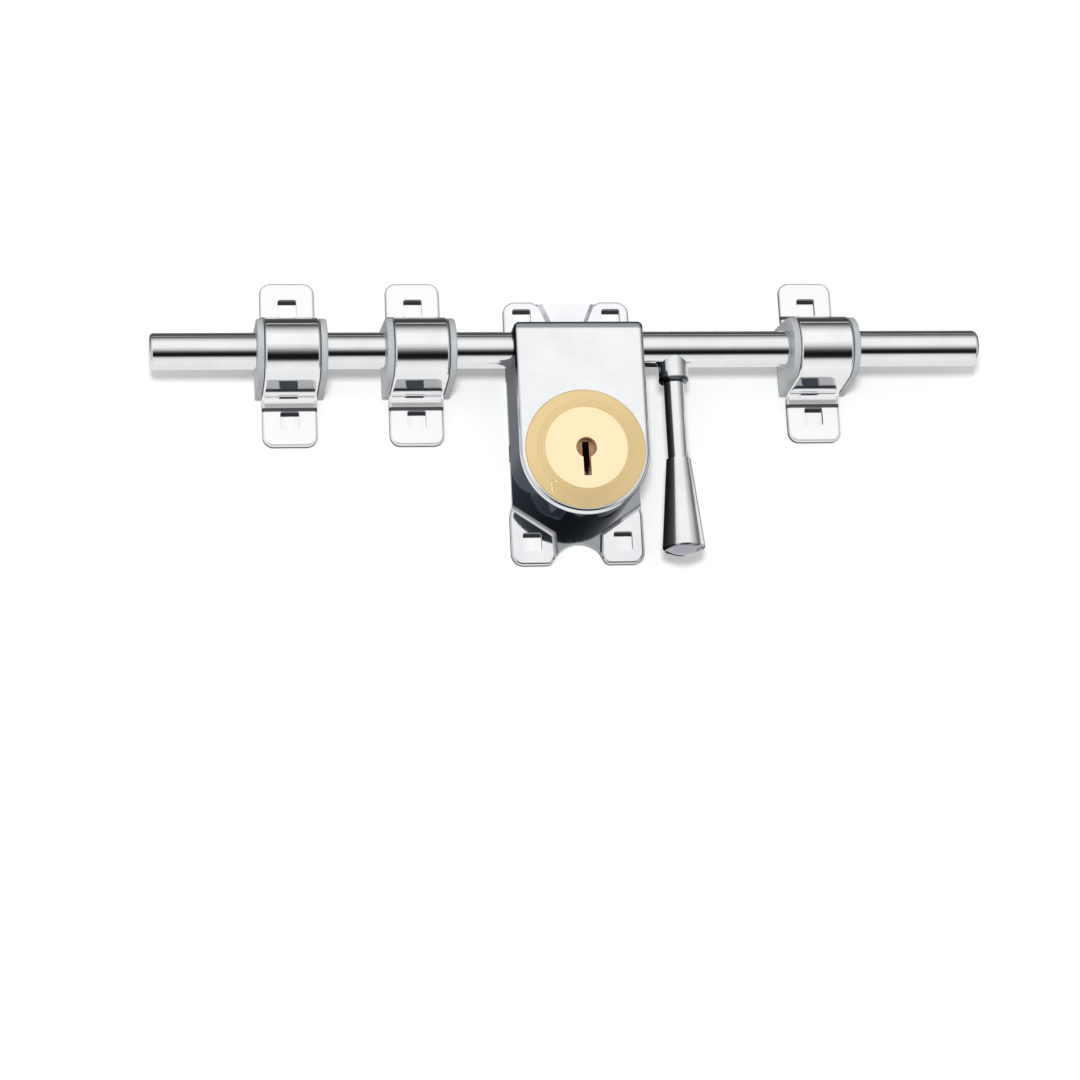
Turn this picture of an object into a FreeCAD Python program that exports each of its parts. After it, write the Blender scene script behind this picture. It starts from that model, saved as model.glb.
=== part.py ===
import FreeCAD, Part
import math
import os

# Rod lock for a door, a long round bolt that slides and turns in three strap brackets and in a lever lock.
# Millimetres. X runs along the rod, Z is up and the door face is the plane y = 0, with the lock in front.
# The origin lies on the door face, straight behind the rod's axis at the middle of the lock case.
# "Out" is a distance in front of the door face, so y is minus that distance.

# The round rod and where it lies when it is pushed home to the left
rod_radius = 6.5
rod_length = 300.0
rod_left = -151.5
rod_out = 18.5
rod_end_round = 1.6

# Handle that hangs from the rod: a collar at its top, a plain stem and a turned conical grip
handle_x = 35.0
collar_radius = 5.4
collar_drop = 12.5
collar_chamfer = 0.5
stem_radius = 3.7
stem_neck_radius = 3.25
stem_neck_length = 5.5
grip_drop = 41.0
grip_top_radius = 4.4
grip_end_radius = 7.6
grip_length = 33.5
grip_dome = 1.6
grip_rim = 1.6
grip_bore_radius = 3.0
grip_bore_depth = 14.0
grip_stud_gap = 1.0
seat_gap = 0.05

# Strap brackets with a square hole in each ear, and the flanged bush that each one holds round the rod.
# The strap bends round the rod's own centre, and its two walls flare a little towards the door.
bracket_places = {"left": -101.8, "middle": -56.3, "right": 90.2}
strap_width = 19.8
strap_sheet = 2.0
strap_half_height = 30.6
strap_corner = 4.0
strap_bend_radius = 11.7
strap_flare = 5.0
strap_fold = 4.5
strap_edge_round = 1.2
strap_hole_margin = 6.3
bush_length = 24.6
bush_base_out = 0.3
bush_flange_step = 0.3
bush_edge = 0.6
bush_running_gap = 0.08
strap_gap = 0.1

# Square holes for the necks of carriage bolts
bolt_square = 6.8
bolt_square_corner = 0.9

# Back plate: flat ears at the four corners, pressed back from a raised middle panel
plate_sheet = 2.0
plate_raise = 1.5
plate_half_width = 23.3
plate_foot_half_width = 24.3
plate_top = 23.5
plate_top_dip = 1.4
plate_dip_low_x = 10.0
plate_dip_high_x = 12.5
plate_dip_round = 2.0
plate_bottom = -75.2
plate_corner = 4.5
plate_flare_height = 4.0
plate_flare_round = 4.0
plate_flare_lift = 13.6
plate_arch_radius = 10.0
plate_arch_top = -67.7
plate_arch_lip = 2.5
plate_hole_x = 16.5
plate_top_hole_z = 17.2
plate_bottom_hole_z = -66.6
plate_edge_round = 1.2

# The step that divides each ear from the panel turns a corner, the throat, towards the plate's middle
panel_overlap = 3.0
panel_wall = 0.6
top_ear_inner_x = 12.5
top_ear_throat_x = 7.5
top_ear_throat_z = 15.0
top_ear_side_z = 10.5
bottom_ear_side_z = -53.0
bottom_ear_throat_x = 9.5
bottom_ear_throat_z = -64.5
bottom_ear_inner_x = 8.5

# Lock case: one drawn box, flat in front, with a half-round lower end about the keyhole
case_half_width = 23.3
case_sheet = 1.0
case_front_out = 28.0
case_top = rod_radius + 1.6
case_corner = 2.0
case_edge = 1.9
case_inner_half = case_half_width - case_sheet
key_z = -39.2
tab_places = (-4.0, -34.0)
tab_length = 6.0
tab_tip_out = 0.7
tab_gap = 0.15
rod_hole_gap = 0.12

# Snap ring on the rod, which meets the case's left wall when the rod is home; the handle's collar meets
# the right bush at the other end of the rod's travel
ring_width = 0.9
ring_groove_radius = rod_radius - 0.5
ring_inner_radius = ring_groove_radius + 0.05
ring_outer_radius = rod_radius + 0.4
ring_split = 3.0
ring_side_gap = 0.1
ring_wall_gap = 0.45

# Brass face disc with turned rings, its spigot through the case and the round nut behind
disc_radius = 21.5
disc_rim = 0.8
disc_rim_chamfer = 0.3
disc_face = 2.2
disc_flat_radius = 14.7
disc_ring_count = 3
disc_ring_pitch = 1.1
disc_ring_depth = 0.1
disc_ring_land = 0.5
disc_ring_floor = 0.6
disc_ring_rise = 0.9
spigot_radius = 10.4
spigot_length = 4.5
spigot_gap = 0.1
nut_radius = 14.2
nut_height = 2.0
nut_slot = 3.0
keyhole_radius = 3.7
keyhole_slot = 2.7
keyhole_depth = 10.2

# Slotted drum behind the keyhole
drum_radius = 6.0
drum_journal_radius = 3.5
drum_slot = 2.4
drum_slot_top = 2.6
drum_slot_base_out = 7.6
drum_end_gap = 0.1
running_gap = 0.08

# Layers of the mechanism
base_sheet = 1.2
base_margin = 0.3
base_corner = 1.0
layer_gap = 0.15
tail_sheet = 2.5
lever_count = 7
lever_sheet = 1.3
lever_pitch = 1.5
cap_sheet = 1.2
cap_gap = 0.3
spacer_gap = 0.1

# Locking bolt: a tail plate behind the levers and a square head that rises into the rod's notch
bolt_throw = 5.0
head_half_width = 4.0
head_depth = 6.0
head_top = -7.6
head_block_bottom = -21.0
head_neck_z = -12.0
head_chamfer = 0.4
notch_gap = 0.7
window_gap = 0.6
talon_reach = 10.3
stump_z = -29.5
stump_half_width = 1.4
stump_half_height = 1.3
stump_side_gap = 0.25
stump_end_gap = 0.6
stump_front_gap = 0.1
tail_shoulder = 3.0
tail_pillar_side = 4.0
tail_pillar_top = 4.5
tail_web = 3.5
tail_end_web = 1.0
tail_corner = 2.0
tail_notch_corner = 0.5

# Pillars and pivot between the base plate and the cap plate
pillar_x = 10.5
pillar_places = (-22.0, -42.0)
pillar_radius = 2.0
pillar_shoulder_radius = 3.2
pillar_foot = 1.0
pillar_head_radius = 3.0
pillar_head = 0.8
pivot_wall_distance = 7.0
pivot_x = pivot_wall_distance - case_inner_half
pivot_z = -17.0
stump_reach = 2.5
stump_x = pivot_x + stump_reach
stop_reach = 8.0
stop_x = pivot_x + stop_reach
stop_z = -48.0
stop_radius = 1.5
cap_margin = 4.5
cap_end_margin = 4.0
cap_head_gap = 0.8
cap_corner = 2.0
cap_low_corner = 3.0

# Levers: thin plates that hang from the pivot, with a belly round the drum
lever_eye = 4.0
belly_radii = (9.0, 9.6, 8.7, 9.3, 9.9, 8.9, 9.5)
lever_swing = 4.0
lever_face_reach = 8.0
lever_face_half = 5.5
lever_shoulder_reach = 7.4
lever_shoulder_drop = 7.0
lever_face_corner = 0.4
lever_shoulder_corner = 1.5
lever_foot_gap = 0.24
lever_foot_width = 3.6
lever_foot_length = 3.5
lever_foot_corner = 0.8
lever_heel_corner = 1.2
lever_back_corner = 3.0
spring_sheet = 0.3
spring_width = 1.0
spring_half_length = 8.0
spring_drop = 13.0
spring_wall_gap = 0.1

# Places that follow from the values above
panel_out = plate_raise + plate_sheet
base_front = panel_out + base_sheet
tail_back = base_front + layer_gap
tail_front = tail_back + tail_sheet
lever_back = tail_front + layer_gap
levers_front = lever_back + lever_pitch * (lever_count - 1) + lever_sheet
cap_back = levers_front + cap_gap
cap_front = cap_back + cap_sheet
ring_x = -case_inner_half + ring_wall_gap
thrown_top = head_top + bolt_throw
parts = {}


def at(x, out, z):
    """A point, given its distance in front of the door."""
    return FreeCAD.Vector(x, -out, z)


def rounded_face(corners):
    """Flat face through (point, radius) corners, each rounded by a tangent arc."""
    count = len(corners)
    starts = []
    ends = []
    middles = []
    for i, (point, radius) in enumerate(corners):
        before = (corners[i - 1][0] - point).normalize()
        after = (corners[(i + 1) % count][0] - point).normalize()
        half = before.getAngle(after) / 2
        reach = radius / math.tan(half) if radius > 0 else 0.0
        bisector = (before + after).normalize()
        starts.append(point + before * reach)
        ends.append(point + after * reach)
        middles.append(point + bisector * (radius / math.sin(half) - radius))
    edges = []
    for i in range(count):
        if starts[i].distanceToPoint(ends[i]) > 1e-6:
            edges.append(Part.Arc(starts[i], middles[i], ends[i]).toShape())
        following = starts[(i + 1) % count]
        if ends[i].distanceToPoint(following) > 1e-6:
            edges.append(Part.makeLine(ends[i], following))
    return Part.Face(Part.Wire(edges))


def plate_solid(corners, back, front):
    """Sheet outlined in the plane of the door by (x, z, radius) corners, between two distances out."""
    face = rounded_face([(at(x, back, z), radius) for x, z, radius in corners])
    return face.extrude(at(0, front - back, 0))


def bar_solid(corners, x_low, x_high):
    """Bar along X whose section has (out, z, radius) corners."""
    face = rounded_face([(at(x_low, out, z), radius) for out, z, radius in corners])
    return face.extrude(FreeCAD.Vector(x_high - x_low, 0, 0))


def turned(corners, centre, axis):
    """Solid of revolution: corners are (radius, distance along the axis) from the centre."""
    side = FreeCAD.Vector(1, 0, 0)
    if abs(axis.x) > 0.5:
        side = FreeCAD.Vector(0, 0, 1)
    points = [centre + side * r + axis * d for r, d in corners]
    face = Part.Face(Part.makePolygon(points + [points[0]]))
    return face.revolve(centre, axis, 360)


def disc_y(x, z, radius, back, front):
    """Round bar or hole that stands square to the door."""
    return Part.makeCylinder(radius, front - back, at(x, back, z), at(0, 1, 0))


def disc_x(out, z, radius, x_low, x_high):
    """Round bar or hole along the rod's direction."""
    return Part.makeCylinder(radius, x_high - x_low, at(x_low, out, z), FreeCAD.Vector(1, 0, 0))


def box(x_low, x_high, back, front, z_low, z_high):
    """Square block between two distances out."""
    return Part.makeBox(x_high - x_low, front - back, z_high - z_low, at(x_low, front, z_low))


def upright_slot(x, z_low, z_high, radius, back, front):
    """Slot with round ends that runs up and down, between the centres of its ends."""
    ends = disc_y(x, z_low, radius, back, front).fuse(disc_y(x, z_high, radius, back, front))
    return ends.fuse(box(x - radius, x + radius, back, front, z_low, z_high))


def square_hole(x, z, back, front):
    """Cutter for a carriage bolt's square hole."""
    half = bolt_square / 2
    corners = [(x + i * half, z + k * half, bolt_square_corner)
               for i, k in ((-1, -1), (1, -1), (1, 1), (-1, 1))]
    return plate_solid(corners, back, front)


def case_outline(margin, top, corner):
    """Corners of the case's outline in the plane of the door, moved in by a margin."""
    half = case_half_width - margin
    low = key_z - half
    return [(-half, top, corner), (half, top, corner), (half, low, half), (-half, low, half)]


def edges_where(shape, test):
    """Edges whose two end points and middle all pass a test."""
    found = []
    for edge in shape.Edges:
        middle = edge.valueAt((edge.FirstParameter + edge.LastParameter) / 2)
        points = [vertex.Point for vertex in edge.Vertexes] + [middle]
        if all(test(point) for point in points):
            found.append(edge)
    return found


def make_rod():
    """The round rod, with its ring groove, the notch for the bolt and the hole for the handle."""
    half = rod_length / 2
    middle = rod_left + half
    rod = disc_x(rod_out, 0, rod_radius, rod_left, rod_left + rod_length)
    ends = edges_where(rod, lambda p: abs(abs(p.x - middle) - half) < 0.01)
    rod = rod.makeFillet(rod_end_round, ends)
    groove_low = ring_x - ring_side_gap
    groove_high = ring_x + ring_width + ring_side_gap
    groove = disc_x(rod_out, 0, rod_radius + 1, groove_low, groove_high)
    groove = groove.cut(disc_x(rod_out, 0, ring_groove_radius, groove_low, groove_high))
    notch_half = head_half_width + notch_gap
    notch_top = thrown_top + notch_gap
    notch = box(-notch_half, notch_half, rod_out - 2 * rod_radius, rod_out + 2 * rod_radius,
                -2 * rod_radius, notch_top)
    neck_top = -rod_radius + stem_neck_length + seat_gap
    hole = Part.makeCylinder(stem_neck_radius + seat_gap, 2 * rod_radius, at(handle_x, rod_out, neck_top),
                             FreeCAD.Vector(0, 0, -1))
    return rod.cut(groove).cut(notch).cut(hole)


def make_handle():
    """Collar seated on the rod, the stem screwed up into the rod, and the grip on the stem's lower end."""
    down = FreeCAD.Vector(0, 0, -1)
    centre = at(handle_x, rod_out, 0)
    bore = stem_radius + seat_gap
    collar = turned([(bore, 0), (collar_radius, 0), (collar_radius, collar_drop - collar_chamfer),
                     (collar_radius - collar_chamfer, collar_drop), (bore, collar_drop)], centre, down)
    side = 2 * collar_radius
    seat = disc_x(rod_out, 0, rod_radius + seat_gap, handle_x - side, handle_x + side)
    parts["handle_collar"] = collar.cut(seat)
    shoulder = rod_radius + seat_gap
    neck_top = rod_radius - stem_neck_length
    stud_end = grip_drop + grip_bore_depth - grip_stud_gap
    stud = grip_bore_radius - seat_gap
    parts["handle_stem"] = turned([(0, neck_top), (stem_neck_radius, neck_top), (stem_neck_radius, shoulder),
                                   (stem_radius, shoulder), (stem_radius, grip_drop), (stud, grip_drop),
                                   (stud, stud_end), (0, stud_end)], centre, down)
    parts["handle_grip"] = make_grip(centre, down)


def make_grip(centre, down):
    """Turned conical grip with a blind bore for the stem and a rounded, slightly domed lower end."""
    side = FreeCAD.Vector(1, 0, 0)
    end = grip_drop + grip_length
    bore_end = grip_drop + grip_bore_depth
    flat = grip_end_radius - grip_rim
    dome_radius = (flat ** 2 + grip_dome ** 2) / (2 * grip_dome)
    dome_middle = end + grip_dome - dome_radius + math.sqrt(dome_radius ** 2 - flat ** 2 / 4)
    diagonal = grip_rim * math.sqrt(0.5)

    def spot(radius, drop):
        return centre + side * radius + down * drop

    rim = Part.Arc(spot(grip_end_radius, end - grip_rim), spot(flat + diagonal, end - grip_rim + diagonal),
                   spot(flat, end))
    dome = Part.Arc(spot(flat, end), spot(flat / 2, dome_middle), spot(0, end + grip_dome))
    sides = [spot(0, end + grip_dome), spot(0, bore_end), spot(grip_bore_radius, bore_end),
             spot(grip_bore_radius, grip_drop), spot(grip_top_radius, grip_drop),
             spot(grip_end_radius, end - grip_rim)]
    lines = [Part.makeLine(a, b) for a, b in zip(sides, sides[1:])]
    face = Part.Face(Part.Wire([rim.toShape(), dome.toShape()] + lines))
    return face.revolve(centre, down, 360)


def make_stop_ring():
    """Split snap ring in the rod's groove, just inside the case's left wall."""
    ring = disc_x(rod_out, 0, ring_outer_radius, ring_x, ring_x + ring_width)
    ring = ring.cut(disc_x(rod_out, 0, ring_inner_radius, ring_x, ring_x + ring_width))
    half = ring_split / 2
    split = box(ring_x, ring_x + ring_width, rod_out - half, rod_out + half, 0, 2 * rod_radius)
    parts["stop_ring"] = ring.cut(split)


def bent_corners(radius, foot_out, foot_radius):
    """Foot and crest corners of a skin that rises from the door and bends round the rod."""
    lean = math.radians(strap_flare)
    crest = rod_out + radius
    shoulder = radius * math.tan((math.pi / 2 - lean) / 2)
    foot = shoulder + (crest - foot_out) * math.tan(lean)
    return [(foot_out, foot, foot_radius), (crest, shoulder, radius)]


def both_halves(corners):
    """Corners of a section's upper half, then those of its lower half."""
    return corners + [(out, -z, radius) for out, z, radius in reversed(corners)]


def make_bracket(name, x):
    """One bracket: the bent strap with two ears, and the bush that it holds between the bush's flanges."""
    half = strap_width / 2
    low = x - half
    high = x + half
    ear = strap_half_height
    skin = bent_corners(strap_bend_radius, strap_sheet, strap_fold)
    strap = bar_solid(both_halves([(0, ear, 0), (strap_sheet, ear, 0)] + skin), low, high)
    outline = [(low, -ear, strap_corner), (high, -ear, strap_corner), (high, ear, strap_corner),
               (low, ear, strap_corner)]
    strap = strap.common(plate_solid(outline, 0, rod_out + strap_bend_radius))
    rim = edges_where(strap, lambda p: -p.y > strap_sheet - 0.01 and
                      (abs(abs(p.x - x) - half) < 0.01 or abs(p.z) > ear - strap_corner - 0.01))
    strap = strap.makeFillet(strap_edge_round, rim)
    hollow = bent_corners(strap_bend_radius - strap_sheet, 0, strap_fold + strap_sheet)
    strap = strap.cut(bar_solid(both_halves([(-1, ear, 0), (0, ear, 0)] + hollow), low - 1, high + 1))
    hole_z = ear - strap_hole_margin - bolt_square / 2
    for z in (-hole_z, hole_z):
        strap = strap.cut(square_hole(x, z, -1, strap_sheet + 1))
    parts["bracket_strap_" + name] = strap
    end = bush_length / 2
    body = bent_corners(strap_bend_radius - strap_sheet - strap_gap, bush_base_out, bush_edge)
    bush = bar_solid(both_halves(body), x - end, x + end)
    flange_section = both_halves(bent_corners(strap_bend_radius - bush_flange_step, bush_base_out, bush_edge))
    for side in (-1, 1):
        faces = sorted((x + side * (half + strap_gap), x + side * end))
        flange = bar_solid(flange_section, faces[0], faces[1])
        rim = edges_where(flange, lambda p: abs(abs(p.x - x) - end) < 0.01)
        bush = bush.fuse(flange.makeFillet(bush_edge, rim))
    bore = disc_x(rod_out, 0, rod_radius + bush_running_gap, x - bush_length, x + bush_length)
    parts["bracket_bush_" + name] = bush.removeSplitter().cut(bore)


def panel_foot(out):
    """Outline of the plate's raised middle where its slopes start, as a face at some distance out."""
    half = plate_half_width + panel_overlap
    corners = [(top_ear_inner_x, plate_top + panel_overlap), (top_ear_throat_x, top_ear_throat_z),
               (half, top_ear_side_z), (half, bottom_ear_side_z), (bottom_ear_throat_x, bottom_ear_throat_z),
               (bottom_ear_inner_x, plate_bottom - panel_overlap)]
    corners = corners + [(-x, z) for x, z in reversed(corners)]
    return rounded_face([(at(x, out, z), 0) for x, z in corners])


def raised_panel(margin, back, front):
    """Block of the plate's raised middle, with slopes towards the ears, moved in by a margin."""
    rise = front - back
    low = panel_foot(back).OuterWire
    foot = low.makeOffset2D(-margin, 2, False, False, False) if margin > 0 else low
    top = low.makeOffset2D(-margin - rise, 2, False, False, False)
    top.translate(at(0, rise, 0))
    return Part.makeLoft([foot, top], True, True)


def make_back_plate():
    """Pressed plate with four ears, a raised panel, square holes and holes for the pillars' feet."""
    foot_z = plate_bottom_hole_z + plate_flare_lift
    right = [(plate_dip_low_x, plate_top - plate_top_dip, plate_dip_round),
             (plate_dip_high_x, plate_top, plate_dip_round), (plate_half_width, plate_top, plate_corner),
             (plate_half_width, foot_z, plate_flare_round),
             (plate_foot_half_width, foot_z - plate_flare_height, plate_flare_round),
             (plate_foot_half_width, plate_bottom, plate_corner)]
    outline = right + [(-x, z, radius) for x, z, radius in reversed(right)]
    blank = plate_solid(outline, 0, panel_out)
    arch = disc_y(0, plate_arch_top - plate_arch_radius, plate_arch_radius, -1, panel_out + 1)
    blank = blank.cut(arch)
    lips = edges_where(blank, lambda p: abs(p.z - plate_bottom) < 0.01 and abs(p.x) < plate_arch_radius)
    blank = blank.makeFillet(plate_arch_lip, lips)
    wide = plate_foot_half_width + 1
    sheet = blank.common(box(-wide, wide, 0, plate_sheet, plate_bottom - 1, plate_top + 1))
    ears = sheet.makeFillet(plate_edge_round, edges_where(sheet, lambda p: abs(p.y + plate_sheet) < 0.01))
    middle = sheet.common(panel_foot(0).extrude(at(0, plate_sheet, 0)))
    panel = blank.common(raised_panel(0, plate_sheet, panel_out))
    pocket = raised_panel(panel_wall, 0, plate_raise)
    plate = ears.fuse([middle, panel]).cut(pocket).removeSplitter()
    for side in (-1, 1):
        plate = plate.cut(square_hole(side * plate_hole_x, plate_top_hole_z, -1, panel_out + 1))
        plate = plate.cut(square_hole(side * plate_hole_x, plate_bottom_hole_z, -1, panel_out + 1))
        for z in tab_places:
            inner = side * (case_inner_half - tab_gap)
            outer = side * (plate_half_width + 1)
            notch = box(min(inner, outer), max(inner, outer), -1, panel_out + 1,
                        z - tab_length / 2 - tab_gap, z + tab_length / 2 + tab_gap)
            plate = plate.cut(notch)
    for x, z in [(pillar_x, z) for z in pillar_places] + [(pivot_x, pivot_z)]:
        plate = plate.cut(disc_y(x, z, pillar_radius + seat_gap, -1, panel_out + 1))
    parts["back_plate"] = plate


def make_lock_case():
    """Drawn sheet box, open at the back, with four tabs that pass the back plate."""
    outer = plate_solid(case_outline(0, case_top, case_corner), panel_out, case_front_out)
    front_edges = edges_where(outer, lambda p: abs(p.y + case_front_out) < 0.01)
    outer = outer.makeFillet(case_edge, front_edges)
    inner_corner = case_corner - case_sheet
    inner = plate_solid(case_outline(case_sheet, case_top - case_sheet, inner_corner), panel_out - 1,
                        case_front_out - case_sheet)
    inner_edges = edges_where(inner, lambda p: abs(p.y + case_front_out - case_sheet) < 0.01)
    inner = inner.makeFillet(case_edge - case_sheet, inner_edges)
    case = outer.cut(inner)
    for side in (-1, 1):
        low = min(side * case_inner_half, side * case_half_width)
        for z in tab_places:
            tab = box(low, low + case_sheet, tab_tip_out, panel_out, z - tab_length / 2, z + tab_length / 2)
            case = case.fuse(tab)
    case = case.removeSplitter()
    case = case.cut(disc_x(rod_out, 0, rod_radius + rod_hole_gap, -case_half_width - 1, case_half_width + 1))
    case = case.cut(disc_y(0, key_z, spigot_radius + spigot_gap, case_front_out - 2, case_front_out + 1))
    parts["lock_case"] = case


def make_face_disc():
    """Turned brass disc with a sloping band, rings and a spigot, and the round nut that holds it."""
    away = at(0, 1, 0)
    front = case_front_out + disc_face
    rim = case_front_out + disc_rim
    profile = [(0, case_front_out), (drum_radius + running_gap, case_front_out),
               (drum_radius + running_gap, case_front_out - spigot_length),
               (spigot_radius, case_front_out - spigot_length), (spigot_radius, case_front_out),
               (disc_radius, case_front_out), (disc_radius, rim - disc_rim_chamfer),
               (disc_radius - disc_rim_chamfer, rim)]
    edge = disc_radius - disc_rim_chamfer
    slope = (front - rim) / (edge - disc_flat_radius)
    for i in range(disc_ring_count, 0, -1):
        outer = disc_flat_radius + disc_ring_pitch * i
        for share, depth in ((disc_ring_land, 0), (disc_ring_floor, disc_ring_depth),
                             (disc_ring_rise, disc_ring_depth), (1, 0)):
            radius = outer - disc_ring_pitch * share
            profile.append((radius, rim + (edge - radius) * slope - depth))
    profile.append((0, front))
    disc = turned(profile, at(0, 0, key_z), away)
    disc = disc.cut(disc_y(0, key_z, keyhole_radius, case_front_out - 1, front + 1))
    slot = box(-keyhole_slot / 2, keyhole_slot / 2, case_front_out - spigot_length - 1, front + 1,
               key_z - keyhole_depth, key_z)
    parts["brass_disc"] = disc.cut(slot)
    nut_front = case_front_out - case_sheet
    nut = disc_y(0, key_z, nut_radius, nut_front - nut_height, nut_front)
    nut = nut.cut(disc_y(0, key_z, spigot_radius + seat_gap, nut_front - nut_height, nut_front))
    grip_slot = box(-2 * nut_radius, 2 * nut_radius, nut_front - nut_height, nut_front - nut_height / 2,
                    key_z - nut_slot / 2, key_z + nut_slot / 2)
    parts["disc_nut"] = nut.cut(grip_slot)


def make_key_drum():
    """Round slotted drum that turns in the disc's spigot, the cap plate and the base plate."""
    tail = panel_out + drum_end_gap
    back = base_front + drum_end_gap
    front = case_front_out - drum_end_gap
    drum = turned([(0, tail), (drum_journal_radius, tail), (drum_journal_radius, back), (drum_radius, back),
                   (drum_radius, front), (0, front)], at(0, 0, key_z), at(0, 1, 0))
    slot = box(-drum_slot / 2, drum_slot / 2, drum_slot_base_out, front + 1, key_z - 2 * drum_radius,
               key_z + drum_slot_top)
    parts["key_drum"] = drum.cut(slot)


def make_base_and_cap():
    """Flat plate that closes the back of the mechanism, and the plate that caps the levers."""
    margin = case_sheet + base_margin
    base = plate_solid(case_outline(margin, case_top - margin, base_corner), panel_out, base_front)
    base = base.cut(disc_y(0, key_z, drum_journal_radius + running_gap, panel_out, base_front))
    left = pivot_x - cap_margin
    right = pillar_x + cap_margin
    notch = head_half_width + cap_head_gap
    notch_floor = head_block_bottom - cap_head_gap
    left_top = pivot_z + cap_margin
    right_top = max(pillar_places) + cap_margin
    right_low = min(pillar_places) - cap_end_margin
    low = stop_z - cap_end_margin
    outline = [(left, left_top, cap_corner), (-notch, left_top, cap_corner / 2), (-notch, notch_floor, 0),
               (notch, notch_floor, 0), (notch, right_top, cap_corner / 2), (right, right_top, cap_corner),
               (right, right_low, cap_low_corner), (right - cap_margin, low, cap_low_corner),
               (stop_x - cap_end_margin, low, cap_low_corner), (left, key_z - cap_margin, cap_low_corner)]
    cap = plate_solid(outline, cap_back, cap_front)
    cap = cap.cut(disc_y(0, key_z, drum_radius + running_gap, cap_back, cap_front))
    for x, z in [(pillar_x, z) for z in pillar_places] + [(pivot_x, pivot_z)]:
        base = base.cut(disc_y(x, z, pillar_radius + seat_gap, panel_out, base_front))
        cap = cap.cut(disc_y(x, z, pillar_radius + seat_gap, cap_back, cap_front))
    parts["mechanism_plate"] = base
    parts["cap_plate"] = cap.cut(disc_y(stop_x, stop_z, stop_radius + seat_gap, cap_back, cap_front))
    parts["lever_stop"] = disc_y(stop_x, stop_z, stop_radius, lever_back + layer_gap, cap_front)


def make_pillars():
    """Two shouldered pillars that guide the bolt, and the pivot that carries the levers with its spacer."""
    foot = plate_raise - pillar_foot
    head = cap_front + pillar_head
    away = at(0, 1, 0)
    wide = pillar_shoulder_radius
    shoulder_back = tail_front + layer_gap
    riveted_foot = [(0, foot), (wide, foot), (wide, plate_raise), (pillar_radius, plate_raise)]
    riveted_head = [(pillar_radius, cap_front), (pillar_head_radius, cap_front),
                    (pillar_head_radius - pillar_head, head), (0, head)]
    waist = [(pillar_radius, shoulder_back), (wide, shoulder_back), (wide, cap_back),
             (pillar_radius, cap_back)]
    profile = riveted_foot + waist + riveted_head
    pillars = [turned(profile, at(pillar_x, 0, z), away) for z in pillar_places]
    parts["guide_pillars"] = Part.makeCompound(pillars)
    parts["lever_pivot"] = turned(riveted_foot + riveted_head, at(pivot_x, 0, pivot_z), away)
    spacer = disc_y(pivot_x, pivot_z, wide, base_front, lever_back - spacer_gap)
    bore = disc_y(pivot_x, pivot_z, pillar_radius + seat_gap, base_front, lever_back)
    parts["lever_spacer"] = spacer.cut(bore)


def make_locking_bolt():
    """Bolt with its tail plate, drum window, pillar slots, talon notch, stump and square head."""
    half = head_half_width
    window = drum_radius + window_gap
    left = stump_x - tail_shoulder
    left_top = stump_z + tail_shoulder
    right = pillar_x + tail_pillar_side
    right_top = max(pillar_places) + tail_pillar_top
    right_low = min(pillar_places) - bolt_throw - pillar_radius - tail_end_web
    low = key_z - bolt_throw - window - tail_web
    tail = plate_solid([(left, left_top, tail_corner / 2), (-half, left_top, tail_notch_corner),
                        (-half, head_neck_z, 0), (half, head_neck_z, 0), (half, right_top, tail_notch_corner),
                        (right, right_top, tail_corner), (right, right_low, tail_corner),
                        (right - tail_web, low, tail_corner), (left + window, low, tail_corner),
                        (left, low + window, tail_corner)], tail_back, tail_front)
    through = tail_front + 1
    tail = tail.cut(upright_slot(0, key_z - bolt_throw, key_z, window, tail_back - 1, through))
    slot = pillar_radius + running_gap
    for z in pillar_places:
        tail = tail.cut(upright_slot(pillar_x, z - bolt_throw, z, slot, tail_back - 1, through))
    tail = tail.cut(box(-talon_reach, 0, tail_back - 1, through, key_z - bolt_throw, key_z))
    stump_front = levers_front + stump_front_gap
    stump = box(stump_x - stump_half_width, stump_x + stump_half_width, tail_back, stump_front,
                stump_z - stump_half_height, stump_z + stump_half_height)
    head_back = rod_out - head_depth / 2
    head_front = rod_out + head_depth / 2
    block = box(-half, half, tail_back, head_front, head_block_bottom, head_neck_z)
    tip = box(-half, half, head_back, head_front, head_neck_z, head_top)
    edges = edges_where(tip, lambda p: abs(p.z - head_top) < 0.01)
    tip = tip.makeChamfer(head_chamfer, edges)
    parts["locking_bolt"] = tail.fuse([stump, block, tip]).removeSplitter()


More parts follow.
